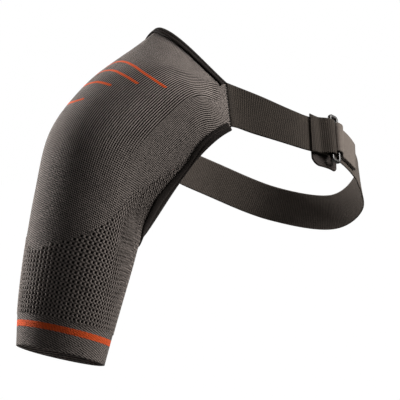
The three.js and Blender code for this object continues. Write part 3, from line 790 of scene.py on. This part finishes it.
class BRACE_OT_bindings(bpy.types.Operator):
    """Folds the narrow tape over the neck edge and the wide tape over the armhole"""

    bl_idname = "brace.bindings"
    bl_label = "Bindings"

    def edge_angle(self, corner, distance, sign):
        """The angle at a distance along the edge from a corner."""
        angles = corner + np.linspace(0, radians(25), 101) * sign
        return float(np.interp(distance, gone_along(edge_loop(angles)), angles))

    def execute(self, context):
        look = context.scene.brace_binding
        material = tape_material(look)
        jobs = (
            ("neck_tape", "neck_binding", -TIP_START, TIP_START, NECK_TAPE, 110),
            ("armhole_tape", "armhole_binding", TIP_END, tau - TIP_END, ARMHOLE_TAPE, 200),
        )
        for name, node, first, last, widths, count in jobs:
            start = self.edge_angle(first, TAPE_END_GAP, 1)
            end = self.edge_angle(last, TAPE_END_GAP, -1)
            angles = np.linspace(start, end, count + 1)
            width = evened(np.interp(np.degrees(angles), *widths))
            places = {share: from_edge(angles, width * share) for share in np.linspace(0, 1, 17)}
            rim, rim_out = places[0]
            outward = unit(rim - from_edge(angles, 2.0)[0])
            middle = TAPE_GAP + TAPE_THICKNESS / 2 + 0.1
            fold = KNIT_WALL / 2 + middle

            def layer(push):
                """Rows across the folded tape, pushed out from its middle layer."""
                line, across = [], []
                for share in sorted(places, reverse=True):
                    point, out = places[share]
                    crown = look.crown / MM * abs(sin(tau * share)) ** 0.6
                    line.append(point + out * (middle + crown + push))
                    across.append(width * (share - 0.5))
                for k in range(1, 8):
                    turn = pi / 2 - pi * k / 8
                    over = rim_out * (fold + push) * sin(turn)
                    beyond = outward * (middle + push) * cos(turn) * 1.25
                    line.append(rim - rim_out * (KNIT_WALL / 2) + (over + beyond))
                    across.append(-width / 2 - k * 0.4)
                for share in sorted(places)[::4]:
                    point, out = places[share]
                    line.append(point - out * (KNIT_WALL + middle + push))
                    across.append(-width / 2 - 3.5 - width * share)
                return line, across

            (face, across), (lining, _) = (layer(side * TAPE_THICKNESS * 0.37) for side in (1, -1))
            points = np.stack(face + lining[::-1], 0)
            uv = np.stack(np.broadcast_arrays(gone_along(rim)[None], np.array(across + across[::-1])), -1)
            piece = surface(name, points, uv, close_rows=True, cap=True)
            dress(piece, material, node)
        return {"FINISHED"}


def section():
    """Loop of (face, edge) shares round a strap's section, with rounded, slightly thicker edges."""
    edges = np.concatenate([[-1, -0.985, -0.95, -0.9], np.linspace(-0.8, 0.8, 9), [0.9, 0.95, 0.985]])
    selvedge = 0.12 * np.exp(-(((np.abs(edges) - 0.95) / 0.03) ** 2))
    face = (1 - np.abs(edges) ** 40) ** 0.5 * (1 + selvedge)
    upper = np.stack([face, edges], -1)
    return np.concatenate([upper, -upper, upper[:1]])


def strip(name, stations, thickness):
    """A strap along stations (s, out, width, rise), where out is the place of its middle line."""
    s, out, width, rise = np.array(stations).T
    ds, do = np.gradient(s), np.gradient(out)
    run = np.hypot(ds, do)
    side_s, side_out = -do / run, ds / run
    loop = section()
    face, edge = loop[:, 0][None], loop[:, 1][None]
    points = ROUTE.place(
        s[:, None] + side_s[:, None] * face * thickness / 2,
        out[:, None] + side_out[:, None] * face * thickness / 2,
        edge * width[:, None] / 2 + rise[:, None],
    )
    path = gone_along(np.stack([s, out], -1))
    uv = np.stack(np.broadcast_arrays(path[:, None], edge * width[:, None] / 2), -1)
    return surface(name, points, uv, cap=True), path[-1]


def bend(bar, thickness, sign, width, rise):
    """Stations of the half turn round a bar."""
    radius, steps = RING_BAR / 2 + BAR_GAP + thickness / 2, 20
    turns = (pi * (k / steps - 0.5) for k in range(1, steps))
    return [(bar + sign * radius * cos(a), BAR_MIDDLE + radius * sin(a), width, rise) for a in turns]


def sewn_width(distance):
    """Width of a strap at a distance from its sewn end."""
    return SEWN_WIDTH + (STRAP_WIDTH - SEWN_WIDTH) * float(ease(distance / TAPER_LENGTH))


class BRACE_OT_straps(bpy.types.Operator):
    """Weaves the front strap, folded back through the ring, and the back strap"""

    bl_idname = "brace.straps"
    bl_label = "Straps"

    def front(self, look):
        thickness = STRAP_THICKNESS
        flat, radius = -thickness / 2, RING_BAR / 2 + BAR_GAP + thickness / 2
        settle, past_bar = RING_LENGTH * 0.9, RING_BAR * 0.6
        rising = NEAR_BAR - settle
        stations = []
        for s in np.linspace(0, rising, 50):
            spread = SEWN_SPREAD * exp(-s / SPREAD_FADE)
            stations.append((s, flat, sewn_width(s) + spread, spread / 2))
        for s in np.linspace(rising + 2, NEAR_BAR, 8):
            lift = (BAR_MIDDLE - radius - flat) * float(ease((s - rising) / settle))
            stations.append((s, flat + lift, STRAP_WIDTH, 0.0))
        stations += bend(NEAR_BAR, thickness, 1, STRAP_WIDTH, 0.0)
        top, folded = BAR_MIDDLE + radius, thickness / 2 + SEAM_GAP
        for share in np.linspace(0, 1, 20):
            s = NEAR_BAR - past_bar + (past_bar - TAB_LENGTH) * share
            drop = (folded - top) * float(ease((NEAR_BAR - s - past_bar) / settle))
            stations.append((s, top + drop, STRAP_WIDTH + (TAB_WIDTH - STRAP_WIDTH) * share, 1.5 * share))
        piece, end = strip("front_webbing", stations, thickness)
        rows = (2.5, 4.5, end - 2.2, end - 4.0)
        dress(piece, webbing_material("front_elastic", look, look.front, rows), "front_strap")

    def back(self, look):
        flat, length = -STRAP_THICKNESS / 2, ROUTE.length
        places = np.linspace(FAR_BAR - RING_BAR, length, 220)
        stations = [(s, flat, sewn_width(length - s), 0.0) for s in places]
        piece, end = strip("back_webbing", stations, STRAP_THICKNESS)
        rows = (end - 2.5, end - 4.5)
        material = webbing_material("back_elastic", look, look.back, rows, soft=0.35)
        dress(piece, material, "back_strap")

    def execute(self, context):
        look = context.scene.brace_strap
        self.front(look)
        self.back(look)
        return {"FINISHED"}


class BRACE_OT_ring_loop(bpy.types.Operator):
    """Folds the velour loop round the ring's far bar"""

    bl_idname = "brace.ring_loop"
    bl_label = "Ring Loop"

    def execute(self, context):
        look = context.scene.brace_strap
        settle, past_bar = RING_LENGTH * 0.8, RING_BAR * 0.6
        inner_middle = 2 * SEAM_GAP + LOOP_THICKNESS / 2
        outer_middle = inner_middle + LOOP_THICKNESS + SEAM_GAP
        top = BAR_MIDDLE + RING_BAR / 2 + BAR_GAP + LOOP_THICKNESS / 2
        end = FAR_BAR + LOOP_LENGTH
        inner = [(s, inner_middle, LOOP_WIDTH, LOOP_RISE) for s in np.linspace(end, FAR_BAR + RING_BAR, 20)]
        outer = []
        for s in np.linspace(FAR_BAR + past_bar, end, 30):
            drop = (outer_middle - top) * float(ease((s - FAR_BAR - past_bar) / settle))
            outer.append((s, top + drop, LOOP_WIDTH, LOOP_RISE))
        stations = inner + bend(FAR_BAR, LOOP_THICKNESS, -1, LOOP_WIDTH, LOOP_RISE) + outer
        piece, _ = strip("velour_loop", stations[::-1], LOOP_THICKNESS)
        dress(piece, velour_material(look), "ring_loop")
        return {"FINISHED"}


def rounded_rectangle(half_x, half_y, radius, corner_steps=10, side_steps=8):
    """Points and outward directions round a rectangle with rounded corners."""
    points, outs = [], []
    corners = ((1, 1, 0), (-1, 1, pi / 2), (-1, -1, pi), (1, -1, 1.5 * pi))
    for n, (sx, sy, start) in enumerate(corners):
        centre = np.array([sx * (half_x - radius), sy * (half_y - radius)])
        for k in range(corner_steps + 1):
            a = start + pi / 2 * k / corner_steps
            outs.append(np.array([cos(a), sin(a)]))
            points.append(centre + radius * outs[-1])
        nx, ny, _ = corners[(n + 1) % 4]
        there = np.array([nx * (half_x - radius), ny * (half_y - radius)]) + radius * outs[-1]
        here = points[-1]
        for k in range(1, side_steps):
            points.append(here + (there - here) * k / side_steps)
            outs.append(outs[-1])
    return np.array(points), np.array(outs)


class BRACE_OT_ring(bpy.types.Operator):
    """Moulds the rounded rectangular ring"""

    bl_idname = "brace.ring"
    bl_label = "Ring"

    def execute(self, context):
        look = context.scene.brace_hardware
        near, far = (ROUTE.place([bar], [BAR_MIDDLE], [0])[0] for bar in (NEAR_BAR, FAR_BAR))
        along = unit(far - near)
        up = ROUTE.frame_at(np.array([(NEAR_BAR + FAR_BAR) / 2]))[1][0]
        up = unit(up - along * np.dot(up, along))
        out = np.cross(along, up)
        half = RING_BAR / 2
        path, outs = rounded_rectangle(RING_LENGTH / 2 - half, RING_HEIGHT / 2 - half, RING_CORNER - 0.6)
        turns = np.linspace(0, tau, 25)
        power = 2 / look.roundness
        wide = np.sign(np.cos(turns)) * np.abs(np.cos(turns)) ** power * half
        high = np.sign(np.sin(turns)) * np.abs(np.sin(turns)) ** power * half
        flat = path[:, None, :] + outs[:, None, :] * wide[None, :, None]
        points = (near + far) / 2 + flat[..., :1] * along + flat[..., 1:] * up + high[None, :, None] * out
        places = np.arange(len(path))[:, None] * 1.5, np.arange(len(turns))[None] * 0.6
        uv = np.stack(np.broadcast_arrays(*places), -1)
        piece = surface("moulded_ring", points, uv, close_rows=True)
        dress(piece, ring_material(look), "buckle_ring")
        return {"FINISHED"}


class BRACE_OT_pad(bpy.types.Operator):
    """Cuts the soft pad under the ring, crowned between its pressed edges"""

    bl_idname = "brace.pad"
    bl_label = "Ring Pad"

    def execute(self, context):
        look = context.scene.brace_hardware
        top = STRAP_WIDTH / 2 - PAD_TOP_CORNER
        bottom = -STRAP_WIDTH / 2 - PAD_DROP
        start = NEAR_BAR - PAD_LEAD
        middle = -STRAP_THICKNESS - PAD_GAP - PAD_THICKNESS / 2

        def cut(distance, radius):
            inner = np.clip(radius - distance, 0, radius)
            return radius - np.sqrt(radius**2 - inner**2)

        u = 0.5 - 0.5 * np.cos(np.linspace(0.045, pi - 0.045, 57))
        v = -np.cos(np.linspace(0, pi, 45))
        x = u * PAD_LENGTH
        low = bottom + cut(x, PAD_CORNER) + cut(PAD_LENGTH - x, PAD_FAR_CORNER)
        high = top - cut(x, PAD_TOP_CORNER) - cut(PAD_LENGTH - x, PAD_TOP_CORNER)
        across = (low + high)[:, None] / 2 + (high - low)[:, None] / 2 * v[None, :]
        sides = np.minimum(across - low[:, None], high[:, None] - across)
        rim = np.maximum(np.minimum(np.minimum(x, PAD_LENGTH - x)[:, None], sides), 0)
        crown = np.sqrt(np.clip(1 - (1 - np.clip(rim / 2.2, 0, 1)) ** 2, 0, 1))
        pressed = 1 - 0.3 * np.exp(-(((rim - 3.6) / 0.7) ** 2))
        thick = PAD_THICKNESS / 2 * crown * pressed
        thick[:, 0] = thick[:, -1] = 0
        place = [ROUTE.place(start + x[:, None], middle + sign * thick, across) for sign in (1, -1)]
        points = np.concatenate([place[0], place[1][:, -2::-1]], 1)
        around = np.concatenate([across, across[:, -2::-1]], 1)
        uv = np.stack(np.broadcast_arrays(x[:, None], around), -1)
        piece = surface("soft_pad", points, uv, cap=True)
        dress(piece, pad_material(look), "buckle_pad")
        return {"FINISHED"}


class BRACE_OT_cloth_facts(bpy.types.Operator):
    """A button that does nothing when run"""

    bl_idname = "brace.cloth_facts"
    bl_label = "Cloth Facts"

    def execute(self, context):
        return {"FINISHED"}


class BRACE_OT_studio(bpy.types.Operator):
    """Lays the floor, hangs the lights and sets the camera"""

    bl_idname = "brace.studio"
    bl_label = "Studio"

    def way(self, turn, height):
        """Direction at a turn from the front and a height over level."""
        return Vector((sin(turn) * cos(height), -cos(turn) * cos(height), sin(height)))

    def backdrop(self, s, space, toward):
        """Distance from the brace, and brightness: a bright wall behind it and dim walls in front."""
        place = s.node("ShaderNodeTexCoord", None, None, out=space)
        parts = s.node("ShaderNodeSeparateXYZ", None, {0: place}).socket.node
        x, y, z = (Value(s, parts.outputs[k]) for k in range(3))
        reach = (x * x + y * y + (z * z if space == "Generated" else 0)).math("SQRT")
        facing = (x * -toward.x + y * -toward.y) / (reach + 0.001)
        return reach, facing.step(0.4, 0.95) * (1 - DIM_WALL) + DIM_WALL

    def execute(self, context):
        look = context.scene.brace_studio
        scene = context.scene
        toward = self.way(look.azimuth, look.elevation)
        camera_data = bpy.data.cameras.new("camera")
        camera_data.lens = look.lens
        camera_data.sensor_width = SENSOR_WIDTH
        camera_data.shift_x = CAMERA_SHIFT
        camera = bpy.data.objects.new("camera", camera_data)
        camera.location = CAMERA_TARGET + toward * look.distance
        camera.rotation_euler = (-toward).to_track_quat("-Z", "Y").to_euler()
        scene.collection.objects.link(camera)
        scene.camera = camera

        bm = bmesh.new()
        bmesh.ops.create_circle(bm, cap_ends=True, segments=96, radius=look.floor_radius)
        bmesh.ops.translate(bm, verts=bm.verts, vec=(0, 0, CAD_BOX[0][2] - FLOOR_DROP))
        mesh = bpy.data.meshes.new("floor")
        bm.to_mesh(mesh)
        bm.free()
        floor = bpy.data.objects.new("floor", mesh)
        scene.collection.objects.link(floor)
        s = Shader("pale_floor_and_glowing_backdrop")
        reach, level = self.backdrop(s, "Object", toward)
        far = reach.step(*FLOOR_FADE)
        pale = s.mix(s.noise(3.0, 2.0) * 0.5 + far * 0.5, look.floor, toned(look.floor, 0.97))
        # Beyond the fade the floor turns near-black and glows: a glowing backdrop, bright behind the brace
        # and dim in front, that also lights the brace.
        inputs = {
            "Base Color": s.mix(far, pale, (0.02, 0.02, 0.02)),
            "Roughness": 0.95,
            "Specular IOR Level": 0.0,
            "Emission Color": s.mix(far * level, (0, 0, 0), (1, 1, 1)),
            "Emission Strength": 1.0,
        }
        shaded = s.node("ShaderNodeBsdfPrincipled", None, inputs)
        s.node("ShaderNodeOutputMaterial", None, {"Surface": shaded})
        mesh.materials.append(s.material)

        s = Shader("studio", "worlds")
        _, level = self.backdrop(s, "Generated", toward)
        glow = s.node("ShaderNodeBackground", None, {"Color": (1, 1, 1, 1), "Strength": level})
        s.node("ShaderNodeOutputWorld", None, {"Surface": glow})
        scene.world = s.material
        scene.view_settings.view_transform = "Standard"
        # name, turn from the front, height, distance, size, power, colour
        lamps = (
            ("key", 50, 30, 1.5, 0.8, 9.5, (1.0, 0.985, 0.96)),
            ("rim", -160, 14, 1.4, 0.6, 11.0, (1.0, 0.985, 0.97)),
            ("top", -30, 78, 1.6, 0.8, 1.5, (0.97, 0.98, 1.0)),
        )
        for name, turn, height, distance, size, power, colour in lamps:
            way = self.way(radians(turn), radians(height))
            data = bpy.data.lights.new(name, "AREA")
            data.size = size
            data.energy = power
            data.color = colour
            data.spread = LAMP_SPREAD
            lamp = bpy.data.objects.new(name, data)
            lamp.location = LAMP_TARGET + way * distance
            lamp.rotation_euler = (-way).to_track_quat("-Z", "Y").to_euler()
            scene.collection.objects.link(lamp)
        return {"FINISHED"}


class BRACE_PT_panel(bpy.types.Panel):
    """Lists the pieces of the brace"""

    bl_label = "Shoulder Brace"
    bl_idname = "BRACE_PT_panel"
    bl_space_type = "VIEW_3D"
    bl_region_type = "UI"
    bl_category = "Brace"

    def draw(self, context):
        for kind in OPERATORS:
            self.layout.operator(kind.bl_idname)
        for key in SETTINGS:
            group = getattr(context.scene, key)
            box = self.layout.box()
            for name in group.bl_rna.properties.keys():
                if name not in ("rna_type", "name"):
                    box.prop(group, name)


SETTINGS = {
    "brace_knit": KnitSettings,
    "brace_binding": BindingSettings,
    "brace_strap": StrapSettings,
    "brace_hardware": HardwareSettings,
    "brace_studio": StudioSettings,
}
OPERATORS = (
    BRACE_OT_knit,
    BRACE_OT_bindings,
    BRACE_OT_straps,
    BRACE_OT_ring_loop,
    BRACE_OT_ring,
    BRACE_OT_pad,
    BRACE_OT_cloth_facts,
    BRACE_OT_studio,
)


def register():
    for kind in (*SETTINGS.values(), *OPERATORS, BRACE_PT_panel):
        bpy.utils.register_class(kind)
    for key, kind in SETTINGS.items():
        setattr(bpy.types.Scene, key, bpy.props.PointerProperty(type=kind))


def unregister():
    for key in SETTINGS:
        delattr(bpy.types.Scene, key)
    for kind in (BRACE_PT_panel, *reversed(OPERATORS), *SETTINGS.values()):
        bpy.utils.unregister_class(kind)


def main():
    register()
    for kind in OPERATORS:
        group, name = kind.bl_idname.split(".")
        getattr(getattr(bpy.ops, group), name)()


if __name__ == "__main__":
    main()
